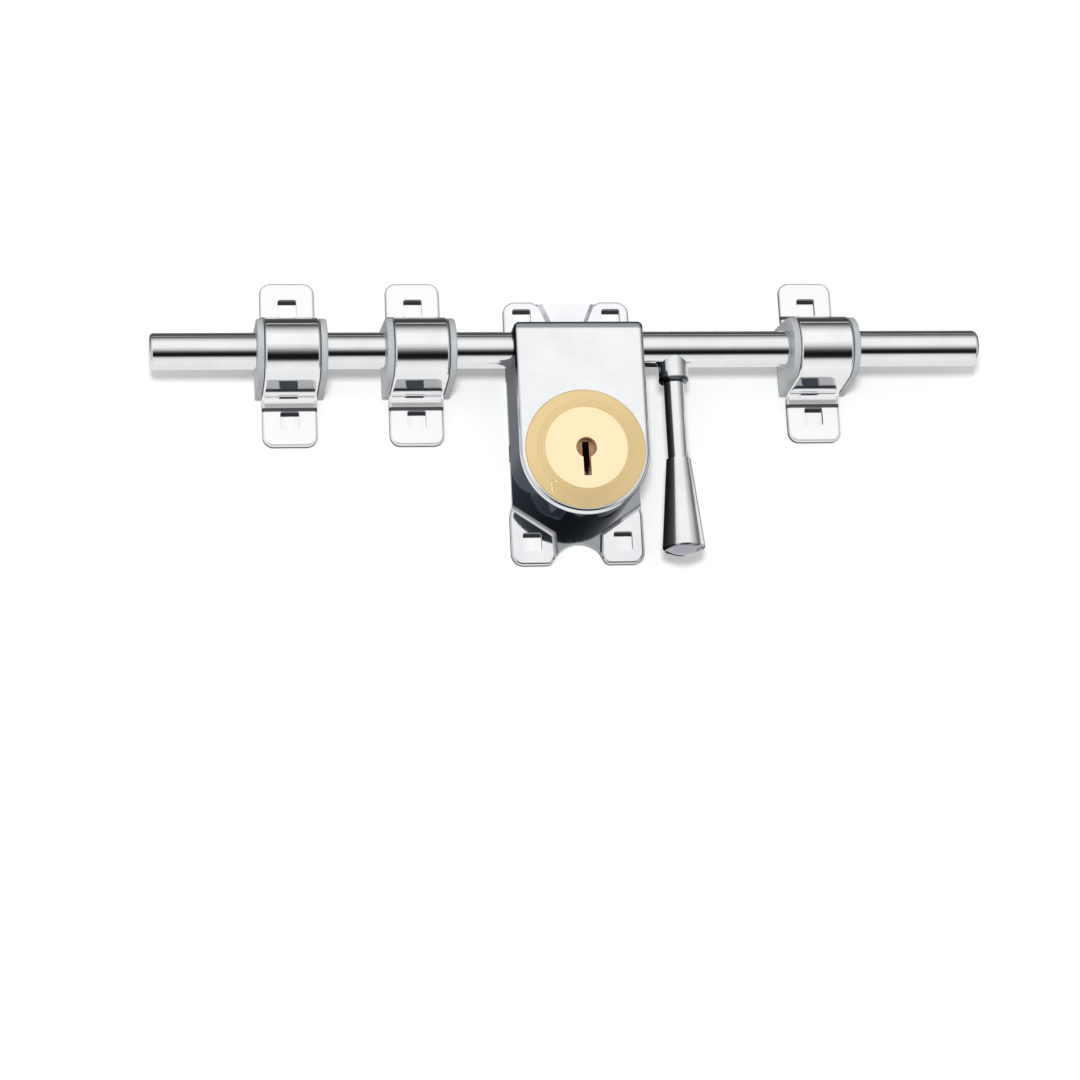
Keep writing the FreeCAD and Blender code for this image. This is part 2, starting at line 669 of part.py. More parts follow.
def make_lever(number, belly):
    """One lever with its eye, stump pockets and gate, belly, and the bow spring on its back edge."""
    back = lever_back + lever_pitch * number
    front = back + lever_sheet
    eye = lever_eye
    left = pivot_x - eye
    top = pivot_z + eye
    sine = math.sin(math.radians(lever_swing))
    toe = stop_x - stop_radius - (pivot_z - stop_z) * sine - lever_foot_gap
    sole = stop_z - stop_radius
    face_x = pivot_x + lever_face_reach
    outline = [(left, top, eye), (pivot_x + eye, top, eye),
               (pivot_x + lever_shoulder_reach, pivot_z - lever_shoulder_drop, lever_shoulder_corner),
               (face_x, key_z + lever_face_half, lever_face_corner),
               (face_x, key_z - lever_face_half, lever_face_corner),
               (toe, sole + lever_foot_length, lever_foot_corner), (toe, sole, lever_foot_corner),
               (toe - lever_foot_width, sole, lever_heel_corner), (left, key_z, lever_back_corner)]
    lever = plate_solid(outline, back, front)
    lever = lever.cut(disc_y(0, key_z, belly, back, front))
    lever = lever.cut(disc_y(pivot_x, pivot_z, pillar_radius + running_gap, back, front))
    gate_half = stump_half_width + stump_side_gap
    high = stump_z + bolt_throw
    rise = stump_half_height + stump_end_gap
    for centre in (stump_z, high):
        reach = gate_half + (pivot_z - centre) * sine
        lever = lever.cut(box(stump_x - reach, stump_x + reach, back, front, centre - rise, centre + rise))
    lever = lever.cut(box(stump_x - gate_half, stump_x + gate_half, back, front, stump_z, high))
    parts["lever_%d" % (number + 1)] = lever
    bow = left + case_inner_half - spring_wall_gap
    radius = (spring_half_length ** 2 + bow ** 2) / (2 * bow)
    middle_z = pivot_z - spring_drop
    centre_x = left - bow + radius
    side = (front - back - spring_width) / 2
    bend = disc_y(centre_x, middle_z, radius, back + side, front - side)
    bend = bend.cut(disc_y(centre_x, middle_z, radius - spring_sheet, back + side, front - side))
    reach = spring_half_length + 1
    spring = bend.common(box(left - bow - 1, left, back, front, middle_z - reach, middle_z + reach))
    parts["lever_spring_%d" % (number + 1)] = spring


def build_all():
    """Make every piece and write one file for each."""
    parts["rod"] = make_rod()
    make_handle()
    make_stop_ring()
    for name, x in bracket_places.items():
        make_bracket(name, x)
    make_back_plate()
    make_lock_case()
    make_face_disc()
    make_key_drum()
    make_base_and_cap()
    make_pillars()
    make_locking_bolt()
    for number, belly in enumerate(belly_radii[:lever_count]):
        make_lever(number, belly)
    os.makedirs("parts", exist_ok=True)
    for name, shape in parts.items():
        if not shape.isValid() or not shape.Solids:
            raise ValueError("bad solid: " + name)
        if len(shape.Solids) == 1:
            shape = shape.Solids[0]
        shape.exportStep("parts/" + name + ".step")
        print(name, len(shape.Solids), round(shape.Volume, 1))


build_all()
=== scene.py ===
import math

import bmesh
import bpy
from mathutils import Matrix, Vector


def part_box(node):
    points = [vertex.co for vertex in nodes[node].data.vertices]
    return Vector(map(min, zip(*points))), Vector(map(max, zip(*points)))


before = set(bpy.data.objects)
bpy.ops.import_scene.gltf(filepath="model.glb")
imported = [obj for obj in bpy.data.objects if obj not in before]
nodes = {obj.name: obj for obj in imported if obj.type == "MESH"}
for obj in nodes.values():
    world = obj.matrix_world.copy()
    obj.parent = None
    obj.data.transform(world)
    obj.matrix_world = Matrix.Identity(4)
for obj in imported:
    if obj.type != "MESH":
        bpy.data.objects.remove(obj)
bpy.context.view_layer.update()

# Back plate: 2 mm steel sheet, pressed so that its four ears lie back on the door and its middle stands forward.
# It is nickel and chrome plated after pressing, so the bright skin shows faint waves and fine wipe marks. Its lower
# middle, in the shade of the case, has painted shade, as its cut edges do.


def new_material(name):
    """Empty node material with its output and a principled shader."""
    material = bpy.data.materials.new(name)
    material.use_nodes = True
    tree = material.node_tree
    shader = tree.nodes["Principled BSDF"]
    return material, tree, shader


def object_pattern(tree, scale):
    """Coordinates that lie on the piece, stretched by a scale for each axis."""
    coordinates = tree.nodes.new("ShaderNodeTexCoord")
    mapping = tree.nodes.new("ShaderNodeMapping")
    mapping.inputs["Scale"].default_value = scale
    tree.links.new(coordinates.outputs["Object"], mapping.inputs["Vector"])
    return mapping.outputs["Vector"]


def noise(tree, vector, scale, detail=3.0, roughness=0.55):
    """Soft random pattern."""
    node = tree.nodes.new("ShaderNodeTexNoise")
    node.inputs["Scale"].default_value = scale
    node.inputs["Detail"].default_value = detail
    node.inputs["Roughness"].default_value = roughness
    tree.links.new(vector, node.inputs["Vector"])
    return node.outputs["Fac"]


def ramp(tree, factor, stops):
    """Colour ramp through (position, colour) stops."""
    node = tree.nodes.new("ShaderNodeValToRGB")
    elements = node.color_ramp.elements
    while len(elements) < len(stops):
        elements.new(0.5)
    for element, (position, colour) in zip(elements, stops):
        element.position = position
        element.color = (*colour, 1.0)
    tree.links.new(factor, node.inputs["Fac"])
    return node.outputs["Color"]


def spread(tree, factor, low, high):
    """Number from a pattern, spread between two values."""
    node = tree.nodes.new("ShaderNodeMapRange")
    node.inputs["From Min"].default_value = 0.3
    node.inputs["From Max"].default_value = 0.7
    node.inputs["To Min"].default_value = low
    node.inputs["To Max"].default_value = high
    tree.links.new(factor, node.inputs["Value"])
    return node.outputs["Result"]


def bump(tree, shader, height, distance, strength=1.0, under=None):
    """Relief from a pattern, on top of another relief where one is given."""
    node = tree.nodes.new("ShaderNodeBump")
    node.inputs["Distance"].default_value = distance
    node.inputs["Strength"].default_value = strength
    tree.links.new(height, node.inputs["Height"])
    if under is not None:
        tree.links.new(under, node.inputs["Normal"])
    tree.links.new(node.outputs["Normal"], shader.inputs["Normal"])
    return node.outputs["Normal"]


def share_along(tree, axis, first, last):
    """Share that rises from 0 to 1 as a place on the piece moves along an axis from first to last."""
    spots = tree.nodes.new("ShaderNodeSeparateXYZ")
    tree.links.new(tree.nodes.new("ShaderNodeTexCoord").outputs["Object"], spots.inputs["Vector"])
    node = tree.nodes.new("ShaderNodeMapRange")
    node.interpolation_type = "SMOOTHSTEP"
    node.inputs["From Min"].default_value = first
    node.inputs["From Max"].default_value = last
    tree.links.new(spots.outputs[axis], node.inputs["Value"])
    return node.outputs["Result"]


def share_across(tree, axis):
    """Share that is 1 where the skin stands square to an axis's faces, as a cut edge or a hole's wall does."""
    spots = tree.nodes.new("ShaderNodeSeparateXYZ")
    tree.links.new(tree.nodes.new("ShaderNodeTexCoord").outputs["Normal"], spots.inputs["Vector"])
    size = tree.nodes.new("ShaderNodeMath")
    size.operation = "ABSOLUTE"
    tree.links.new(spots.outputs[axis], size.inputs[0])
    node = tree.nodes.new("ShaderNodeMapRange")
    node.inputs["From Min"].default_value = 0.6
    node.inputs["From Max"].default_value = 0.3
    tree.links.new(size.outputs["Value"], node.inputs["Value"])
    return node.outputs["Result"]


def joined(tree, operation, first, second):
    """Two shares put together."""
    node = tree.nodes.new("ShaderNodeMath")
    node.operation = operation
    tree.links.new(first, node.inputs[0])
    tree.links.new(second, node.inputs[1])
    return node.outputs["Value"]


def mixed(tree, share, under, over):
    """Colour that turns from one into another as a share rises."""
    blend = tree.nodes.new("ShaderNodeMix")
    blend.data_type = "RGBA"
    blend.inputs["B"].default_value = (*over, 1.0)
    tree.links.new(share, blend.inputs["Factor"])
    if isinstance(under, tuple):
        blend.inputs["A"].default_value = (*under, 1.0)
    else:
        tree.links.new(under, blend.inputs["A"])
    return blend.outputs["Result"]


def toned(material, share, colour):
    """Lays a second tone over a finish where a share says so."""
    base = material.node_tree.nodes["Principled BSDF"].inputs["Base Color"]
    blend = mixed(material.node_tree, share, base.links[0].from_socket, colour)
    material.node_tree.links.new(blend, base)


def dulled(material, share, metallic):
    """Lets the plating fade towards a white satin where a share says so."""
    tree = material.node_tree
    fade = tree.nodes.new("ShaderNodeMapRange")
    fade.inputs["To Min"].default_value = 1.0
    fade.inputs["To Max"].default_value = metallic
    tree.links.new(share, fade.inputs["Value"])
    tree.links.new(fade.outputs["Result"], tree.nodes["Principled BSDF"].inputs["Metallic"])


def plated(name, dark, light, rough, grain, wave=0.0):
    """Bright plating: a tint that drifts a little, wipe marks along the grain, and slow waves in the sheet."""
    material, tree, shader = new_material(name)
    shader.inputs["Metallic"].default_value = 1.0
    drift = noise(tree, object_pattern(tree, (1, 1, 1)), scale=90.0)
    tree.links.new(ramp(tree, drift, [(0.35, dark), (0.65, light)]), shader.inputs["Base Color"])
    marks = noise(tree, object_pattern(tree, grain), scale=900.0, detail=4.0, roughness=0.6)
    tree.links.new(spread(tree, marks, *rough), shader.inputs["Roughness"])
    relief = bump(tree, shader, marks, distance=0.00002, strength=0.25)
    if wave > 0.0:
        slow = noise(tree, object_pattern(tree, (1, 1, 1)), scale=160.0, detail=1.0)
        bump(tree, shader, slow, distance=wave, under=relief)
    return material


def finish_nodes(material, *names):
    """Gives CAD pieces their finish."""
    for name in names:
        for holder in nodes[name].material_slots:
            holder.material = material


raised_middle = (-0.0024, -0.0031)
shaded_part = (-0.006, -0.014)
sheet_edge = (-0.0026, -0.0020)
upper_end = (0.006, 0.012)
upper_end_metallic = 0.65
painted_shade_below_case = (0.32, 0.335, 0.35)
painted_edge_and_fold_shade = (0.06, 0.065, 0.07)
plated_sheet = plated("plated_sheet", dark=(0.80, 0.82, 0.84), light=(0.88, 0.89, 0.90), rough=(0.04, 0.09),
                      grain=(1, 1, 0.25), wave=0.00002)
tree = plated_sheet.node_tree
# Painted shade on the raised middle where it lies below the case.
middle = joined(tree, "MULTIPLY", share_along(tree, "Y", *raised_middle), share_along(tree, "Z", *shaded_part))
toned(plated_sheet, middle, painted_shade_below_case)
# Painted shade on the cut edges and the walls of the square holes.
cut_edges = joined(tree, "MULTIPLY", share_across(tree, "Y"), share_along(tree, "Y", *sheet_edge))
toned(plated_sheet, cut_edges, painted_edge_and_fold_shade)
dulled(plated_sheet, share_along(tree, "Z", *upper_end), upper_end_metallic)
finish_nodes(plated_sheet, "back_plate")

# Mechanism inside the case: base and cap plates blanked from zinc-plated steel, with turned pillars, pivot and stop.
# The disc's round nut and the pivot's spacer are turned brass. All are tumbled, so the metal is dull and uneven.


def tumbled(name, dark, light, rough, grain=(1, 1, 1)):
    """Dull tumbled metal with a fine scratched grain."""
    material, tree, shader = new_material(name)
    shader.inputs["Metallic"].default_value = 1.0
    drift = noise(tree, object_pattern(tree, (1, 1, 1)), scale=140.0, detail=5.0)
    tree.links.new(ramp(tree, drift, [(0.32, dark), (0.68, light)]), shader.inputs["Base Color"])
    marks = noise(tree, object_pattern(tree, grain), scale=1400.0, detail=5.0, roughness=0.65)
    tree.links.new(spread(tree, marks, *rough), shader.inputs["Roughness"])
    bump(tree, shader, marks, distance=0.00004, strength=0.5)
    return material


inner_brass = tumbled("inner_brass", dark=(0.58, 0.42, 0.18), light=(0.72, 0.56, 0.28), rough=(0.28, 0.45))
inner_steel = tumbled("inner_steel", dark=(0.42, 0.43, 0.44), light=(0.56, 0.57, 0.58), rough=(0.25, 0.42))
finish_nodes(inner_brass, "disc_nut", "lever_spacer")
finish_nodes(inner_steel, "mechanism_plate", "cap_plate", "guide_pillars", "lever_pivot", "lever_stop")

# Locking bolt: one casting in steel, machined on its head, tail and stump, and left with the marks of the cutter.
# It slides between the base plate and the levers.
bolt_steel = tumbled("bolt_steel", dark=(0.36, 0.37, 0.38), light=(0.50, 0.51, 0.53), rough=(0.22, 0.38),
                     grain=(1, 1, 0.15))
finish_nodes(bolt_steel, "locking_bolt")

# Key drum: turned from brass bar, with a milled slot, and left unlacquered, so it has browned to a coppery tone.
# It turns in the disc's spigot, and its end shows in the keyhole.
drum_brass = tumbled("drum_brass", dark=(0.20, 0.09, 0.045), light=(0.44, 0.26, 0.15), rough=(0.18, 0.34))
finish_nodes(drum_brass, "key_drum")

# Levers: seven thin plates blanked from brass strip, each with a bow spring of hardened steel wire in its back edge.
# The blanking leaves a grain along the strip. The rod's stop ring is a snap ring of the same spring wire.
lever_brass = tumbled("lever_brass", dark=(0.60, 0.45, 0.20), light=(0.76, 0.60, 0.31), rough=(0.25, 0.40),
                      grain=(1, 1, 0.12))
spring_steel = tumbled("spring_steel", dark=(0.20, 0.21, 0.24), light=(0.34, 0.35, 0.39), rough=(0.22, 0.34))
finish_nodes(spring_steel, "stop_ring")
for number in range(1, 8):
    finish_nodes(lever_brass, "lever_%d" % number)
    finish_nodes(spring_steel, "lever_spring_%d" % number)

# Lock case: one deep-drawn box of 1 mm steel with a flat front and a half-round lower end, chrome plated.
# The front was polished along its height before plating, which leaves it the whitest face of the lock. The drawn
# sides carry painted shade, the top edge a painted dark reflection, and the side round the rod's hole an almost black
# painted shadow.
drawn_sides = (-0.0266, -0.0258)
painted_side_shade = (0.19, 0.215, 0.24)
front_upper_bend = (0.0049, 0.0058)
painted_top_edge_reflection = (0.30, 0.32, 0.34)
hole_side_across = (-0.0224, -0.0229)
hole_side_upwards = (-0.014, -0.008)
painted_rod_shadow = (0.02, 0.022, 0.024)
top_wall_height = (0.0074, 0.0078)
top_wall_depth = (-0.0262, -0.0254)
top_wall_tone = (0.84, 0.86, 0.88)
top_wall_metallic = 0.35
plated_case = plated("plated_case", dark=(0.87, 0.89, 0.90), light=(0.93, 0.94, 0.95), rough=(0.05, 0.10),
                     grain=(1, 1, 0.1), wave=0.000003)
tree = plated_case.node_tree
# Painted shade on the drawn sides.
toned(plated_case, share_along(tree, "Y", *drawn_sides), painted_side_shade)
# Painted dark reflection along the top edge of the front.
toned(plated_case, share_along(tree, "Z", *front_upper_bend), painted_top_edge_reflection)
# Painted shadow of the rod on the side round its hole.
rod_shadow_share = joined(tree, "MULTIPLY", share_along(tree, "X", *hole_side_across),
                   share_along(tree, "Z", *hole_side_upwards))
toned(plated_case, rod_shadow_share, painted_rod_shadow)
top_wall = joined(tree, "MULTIPLY", share_along(tree, "Z", *top_wall_height), share_along(tree, "Y", *top_wall_depth))
toned(plated_case, top_wall, top_wall_tone)
dulled(plated_case, top_wall, top_wall_metallic)
tree.nodes["Principled BSDF"].inputs["Specular Tint"].default_value = (0.30, 0.315, 0.335, 1.0)
finish_nodes(plated_case, "lock_case")

# Face disc: turned from brass and lacquered. Its outer band carries fine turned rings, and the middle is flat,
# finished with a light circular brush, and pierced by the keyhole.
key_centre = Vector((0.0, 0.0, -0.0392))
disc_flat_radius = 0.0147
disc_ring_pitch = 0.00062
disc_edge_blur = 0.0002
disc_flat_colour = (0.96, 0.725, 0.46)
disc_band_colour = (0.76, 0.575, 0.29)
disc_groove_colour = (0.44, 0.36, 0.17)


def turned_brass():
    """Lacquered brass with rings that run round the keyhole's centre."""
    material, tree, shader = new_material("face_brass")
    shader.inputs["Metallic"].default_value = 0.5
    coordinates = tree.nodes.new("ShaderNodeTexCoord")
    mapping = tree.nodes.new("ShaderNodeMapping")
    mapping.inputs["Location"].default_value = -key_centre
    tree.links.new(coordinates.outputs["Object"], mapping.inputs["Vector"])
    flatten = tree.nodes.new("ShaderNodeVectorMath")
    flatten.operation = "MULTIPLY"
    flatten.inputs[1].default_value = (1, 0, 1)
    tree.links.new(mapping.outputs["Vector"], flatten.inputs[0])
    length = tree.nodes.new("ShaderNodeVectorMath")
    length.operation = "LENGTH"
    tree.links.new(flatten.outputs["Vector"], length.inputs[0])
    radius = length.outputs["Value"]
    band = tree.nodes.new("ShaderNodeMapRange")
    band.inputs["From Min"].default_value = disc_flat_radius - disc_edge_blur
    band.inputs["From Max"].default_value = disc_flat_radius + disc_edge_blur
    tree.links.new(radius, band.inputs["Value"])
    colour = ramp(tree, band.outputs["Result"], [(0.0, disc_flat_colour), (1.0, disc_band_colour)])
    tree.links.new(colour, shader.inputs["Base Color"])
    rings = tree.nodes.new("ShaderNodeMath")
    rings.operation = "SINE"
    scaled = tree.nodes.new("ShaderNodeMath")
    scaled.operation = "MULTIPLY"
    scaled.inputs[1].default_value = 2 * math.pi / disc_ring_pitch
    tree.links.new(radius, scaled.inputs[0])
    tree.links.new(scaled.outputs["Value"], rings.inputs[0])
    marks = noise(tree, object_pattern(tree, (1, 1, 1)), scale=700.0, detail=4.0)
    tree.links.new(spread(tree, marks, low=0.16, high=0.26), shader.inputs["Roughness"])
    bump(tree, shader, rings.outputs["Value"], distance=0.000004)
    grooves = tree.nodes.new("ShaderNodeMapRange")
    grooves.inputs["From Min"].default_value = 0.2
    grooves.inputs["To Max"].default_value = 0.55
    tree.links.new(rings.outputs["Value"], grooves.inputs["Value"])
    toned(material, joined(tree, "MULTIPLY", grooves.outputs["Result"], band.outputs["Result"]), disc_groove_colour)
    return material


finish_nodes(turned_brass(), "brass_disc")

# Rod: 13 mm steel bar with rounded ends, ground and polished round before it was chrome plated.
# Its wipe marks run round it, and it is the brightest piece.
plated_rod = plated("plated_rod", dark=(0.84, 0.85, 0.86), light=(0.90, 0.90, 0.91), rough=(0.03, 0.07),
                    grain=(6, 1, 1))
finish_nodes(plated_rod, "rod")

# Handle: collar, stem and conical grip, each turned from steel bar and plated over a finer, softer polish.
# The grip's turned end has a painted grey reflection, and the collar's lower edge has painted dark shade.
grip_end_height = (-0.0728, -0.0735)
painted_grip_end_reflection = (0.40, 0.41, 0.45)
collar_edge_top = (-0.0108, -0.0116)
collar_edge_foot = (-0.0132, -0.0126)
painted_collar_shade = (0.10, 0.11, 0.12)
plated_handle = plated("plated_handle", dark=(0.83, 0.85, 0.86), light=(0.91, 0.92, 0.93), rough=(0.08, 0.12),
                       grain=(1, 1, 5))
tree = plated_handle.node_tree
# Painted grey reflection on the grip's end.
toned(plated_handle, share_along(tree, "Z", *grip_end_height), painted_grip_end_reflection)
# Painted dark shade at the collar's lower edge and the top of the stem.
collar_shade_share = joined(tree, "MULTIPLY", share_along(tree, "Z", *collar_edge_top),
                     share_along(tree, "Z", *collar_edge_foot))
toned(plated_handle, collar_shade_share, painted_collar_shade)
finish_nodes(plated_handle, "handle_collar", "handle_stem", "handle_grip")

# Bracket straps: 2 mm steel strip with rounded edges, bent round the bush to an ear above and an ear below,
# and chrome plated after its square holes were punched. The bend is polished bright and the ears are satin white.
# The folds between them and the cut edges carry painted dark shade.
bracket_places = ("left", "middle", "right")
ear_start, ear_full = 0.0132, 0.0150
ear_tone = (0.87, 0.875, 0.88)
ear_metallic = 0.60
strip_edge = (-0.0024, -0.0018)
fold_start, fold_end, fold_blur = 0.0160, 0.0178, 0.0004
plated_strap = plated("plated_strap", dark=(0.88, 0.895, 0.91), light=(0.95, 0.955, 0.96), rough=(0.04, 0.09),
                      grain=(0.2, 1, 1), wave=0.00001)
tree = plated_strap.node_tree
ears = joined(tree, "MAXIMUM", share_along(tree, "Z", ear_start, ear_full),
              share_along(tree, "Z", -ear_start, -ear_full))
toned(plated_strap, ears, ear_tone)
dulled(plated_strap, ears, ear_metallic)
# Painted shade on the cut edges and the walls of the square holes.
cut_edges = joined(tree, "MULTIPLY", share_across(tree, "Y"), share_along(tree, "Y", *strip_edge))
toned(plated_strap, cut_edges, painted_edge_and_fold_shade)
# Painted shade in the folds between the bend and the ears.
for side in (-1, 1):
    fold_shade = joined(tree, "MULTIPLY", share_along(tree, "Z", side * fold_start, side * (fold_start + fold_blur)),
                  share_along(tree, "Z", side * fold_end, side * (fold_end - fold_blur)))
    toned(plated_strap, fold_shade, painted_edge_and_fold_shade)
for place in bracket_places:
    finish_nodes(plated_strap, "bracket_strap_" + place)

# Bracket bushes: moulded in grey plastic with a flange at each end, which holds the strap between them.
# The mould leaves a satin skin with a very fine spark texture, a little paler where the flow ended.


def moulded(name, dark, light, rough):
    """Satin moulded plastic with slow tone drift and a fine texture from the mould."""
    material, tree, shader = new_material(name)
    drift = noise(tree, object_pattern(tree, (1, 1, 1)), scale=70.0)
    tree.links.new(ramp(tree, drift, [(0.35, dark), (0.65, light)]), shader.inputs["Base Color"])
    texture = noise(tree, object_pattern(tree, (1, 1, 1)), scale=2600.0, detail=2.0)
    tree.links.new(spread(tree, texture, *rough), shader.inputs["Roughness"])
    bump(tree, shader, texture, distance=0.00003, strength=0.4)
    return material


bush_grey = moulded("bush_grey", dark=(0.36, 0.38, 0.39), light=(0.43, 0.45, 0.46), rough=(0.32, 0.42))
for place in bracket_places:
    finish_nodes(bush_grey, "bracket_bush_" + place)

# Studio: a white board at the door face takes the soft shadow, and painted dark shadows on it show in the upper
# part of the square holes of the lock. Polished metal sees a bright room with dark cards.


def direction_angle(tree, first, second):
    """Angle in turns, from 0 to 1, of two parts of the direction."""
    turn = tree.nodes.new("ShaderNodeMath")
    turn.operation = "ARCTAN2"
    tree.links.new(first, turn.inputs[0])
    tree.links.new(second, turn.inputs[1])
    scaled = tree.nodes.new("ShaderNodeMapRange")
    scaled.inputs["From Min"].default_value = -math.pi
    scaled.inputs["From Max"].default_value = math.pi
    tree.links.new(turn.outputs["Value"], scaled.inputs["Value"])
    return scaled.outputs["Result"]


def grey_stops(levels, first=0.0, last=1.0):
    """Ramp stops for (place, grey) levels that lie between a first and a last place."""
    return [((place - first) / (last - first), (grey, grey, grey)) for place, grey in levels]


world = bpy.data.worlds.new("studio_room")
bpy.context.scene.world = world
world.use_nodes = True
tree = world.node_tree
background = tree.nodes["Background"]
direction = tree.nodes.new("ShaderNodeTexCoord").outputs["Generated"]
parts = tree.nodes.new("ShaderNodeSeparateXYZ")
tree.links.new(direction, parts.inputs["Vector"])
towards = tree.nodes.new("ShaderNodeMath")
towards.operation = "MULTIPLY"
towards.inputs[1].default_value = -1.0
tree.links.new(parts.outputs["Y"], towards.inputs[0])
height_levels = [(-180, 0.60), (-135, 0.80), (-90, 0.95), (-74, 0.88), (-63, 0.84), (-57, 0.72), (-53, 0.46),
                 (-49, 0.14), (-45, 0.015), (-32, 0.006), (-26, 0.03), (-20, 0.12), (-13, 0.34), (-5, 0.66),
                 (4, 0.86), (10, 0.98), (41, 0.99), (52, 0.86), (61, 0.68), (68, 0.48), (75, 0.27), (82, 0.11),
                 (90, 0.05), (94, 0.20), (100, 0.50), (110, 0.62), (180, 0.60)]
side_levels = [(-180, 0.60), (-110, 0.55), (-91, 0.42), (-75, 0.52), (-55, 0.68), (-40, 0.90), (0, 0.95),
               (14, 0.84), (30, 0.70), (45, 0.66), (60, 0.46), (74, 0.20), (90, 0.20), (106, 0.45), (125, 0.60),
               (180, 0.60)]
up_and_down = ramp(tree, direction_angle(tree, parts.outputs["Z"], towards.outputs["Value"]),
                   grey_stops(height_levels, -180.0, 180.0))
left_and_right = ramp(tree, direction_angle(tree, parts.outputs["X"], towards.outputs["Value"]),
                      grey_stops(side_levels, -180.0, 180.0))
steep = tree.nodes.new("ShaderNodeMath")
steep.operation = "ABSOLUTE"
tree.links.new(parts.outputs["X"], steep.inputs[0])
sideways_start, sideways_full = 0.30, 0.65
share = tree.nodes.new("ShaderNodeMapRange")
share.interpolation_type = "SMOOTHSTEP"
share.inputs["From Min"].default_value = sideways_start
share.inputs["From Max"].default_value = sideways_full
tree.links.new(steep.outputs["Value"], share.inputs["Value"])
room = tree.nodes.new("ShaderNodeMix")
room.data_type = "RGBA"
tree.links.new(share.outputs["Result"], room.inputs["Factor"])
tree.links.new(up_and_down, room.inputs["A"])
tree.links.new(left_and_right, room.inputs["B"])
ways = tree.nodes.new("ShaderNodeLightPath")
seen = tree.nodes.new("ShaderNodeMix")
seen.data_type = "RGBA"
seen.inputs["B"].default_value = (1, 1, 1, 1)
tree.links.new(ways.outputs["Is Camera Ray"], seen.inputs["Factor"])
tree.links.new(room.outputs["Result"], seen.inputs["A"])
tree.links.new(seen.outputs["Result"], background.inputs["Color"])


def flat_card(name, middle, turn, axis, width, height):
    """Staged card, made flat, turned by degrees about an axis and moved to its middle."""
    place = (Matrix.Translation(middle) @ Matrix.Rotation(math.radians(turn), 4, axis) @
             Matrix.Diagonal((width / 2, height / 2, 1, 1)))
    form = bmesh.new()
    bmesh.ops.create_grid(form, x_segments=1, y_segments=1, size=1.0, matrix=place)
    mesh = bpy.data.meshes.new(name)
    form.to_mesh(mesh)
    form.free()
    card = bpy.data.objects.new(name, mesh)
    bpy.context.scene.collection.objects.link(card)
    return card


board_size = 6.0
board_gap = 0.0004
board_glow = 0.22
board_matt = 0.9
board = flat_card("board", (0, board_gap, 0), 90, "X", board_size, board_size)
material, tree, shader = new_material("board_white")
shader.inputs["Roughness"].default_value = board_matt
shader.inputs["Specular IOR Level"].default_value = 0.0
ways = tree.nodes.new("ShaderNodeLightPath")
glow = tree.nodes.new("ShaderNodeEmission")
glow.inputs["Strength"].default_value = 1.0
lit = tree.nodes.new("ShaderNodeMixShader")
lit.inputs["Fac"].default_value = board_glow
tree.links.new(shader.outputs["BSDF"], lit.inputs[1])
tree.links.new(glow.outputs["Emission"], lit.inputs[2])


def window(tree, low_x, high_x, low_z, high_z, fade):
    """Share that is 1 inside a rectangle of the door face and fades to 0 at its edges."""
    across = joined(tree, "MULTIPLY", share_along(tree, "X", low_x, low_x + fade),
                    share_along(tree, "X", high_x, high_x - fade))
    along = joined(tree, "MULTIPLY", share_along(tree, "Z", low_z, low_z + fade),
                   share_along(tree, "Z", high_z, high_z - fade))
    return joined(tree, "MULTIPLY", across, along)


plate_hole_across, plate_hole_top, plate_hole_foot, strap_hole_height = 0.0165, 0.0172, -0.0666, 0.0209
hole_places = [(-plate_hole_across, plate_hole_top), (plate_hole_across, plate_hole_top),
               (-plate_hole_across, plate_hole_foot), (plate_hole_across, plate_hole_foot)]
for place in bracket_places:
    low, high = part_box("bracket_strap_" + place)
    hole_places += [((low[0] + high[0]) / 2, -strap_hole_height), ((low[0] + high[0]) / 2, strap_hole_height)]
# Painted shadows on the board, in the upper part of each square hole of the lock.
shadow_left, shadow_right, shadow_foot, shadow_top, shadow_blur = -0.0042, 0.0052, 0.0019, 0.0048, 0.0003
hole_shadow_shares = [window(tree, x + shadow_left, x + shadow_right, z + shadow_foot, z + shadow_top, shadow_blur) for x, z in hole_places]
painted_hole_shadows = hole_shadow_shares[0]
for hole_shadow_share in hole_shadow_shares[1:]:
    painted_hole_shadows = joined(tree, "MAXIMUM", painted_hole_shadows, hole_shadow_share)
painted_hole_shadow_dark = (0.03, 0.032, 0.035)
tree.links.new(mixed(tree, painted_hole_shadows, (0.85, 0.85, 0.85), painted_hole_shadow_dark), shader.inputs["Base Color"])
tree.links.new(mixed(tree, painted_hole_shadows, (1.0, 1.0, 1.0), painted_hole_shadow_dark), glow.inputs["Color"])

# What polished metal sees of the board: a grey that falls off with height, darker behind the handle, and painted
# shade behind the straps.
# Rays that start almost on the board pass it, so the backs of the plate and straps see the room.
mirrored_foot, mirrored_top = -0.10, 0.30
mirrored_levels = [(0.0, 0.90), (0.24, 0.86), (0.275, 0.62), (0.30, 0.28), (0.35, 0.12), (0.42, 0.055), (0.72, 0.05),
                   (0.95, 0.5)]
touching_length = 0.0035
places = tree.nodes.new("ShaderNodeSeparateXYZ")
tree.links.new(tree.nodes.new("ShaderNodeTexCoord").outputs["Object"], places.inputs["Vector"])
rise = tree.nodes.new("ShaderNodeMapRange")
rise.inputs["From Min"].default_value = mirrored_foot
rise.inputs["From Max"].default_value = mirrored_top
tree.links.new(places.outputs["Z"], rise.inputs["Value"])
mirrored = ramp(tree, rise.outputs["Result"], grey_stops(mirrored_levels))
patches = [(0.0275, 0.040, -0.082, -0.006, 0.002, (0.02, 0.022, 0.026))]
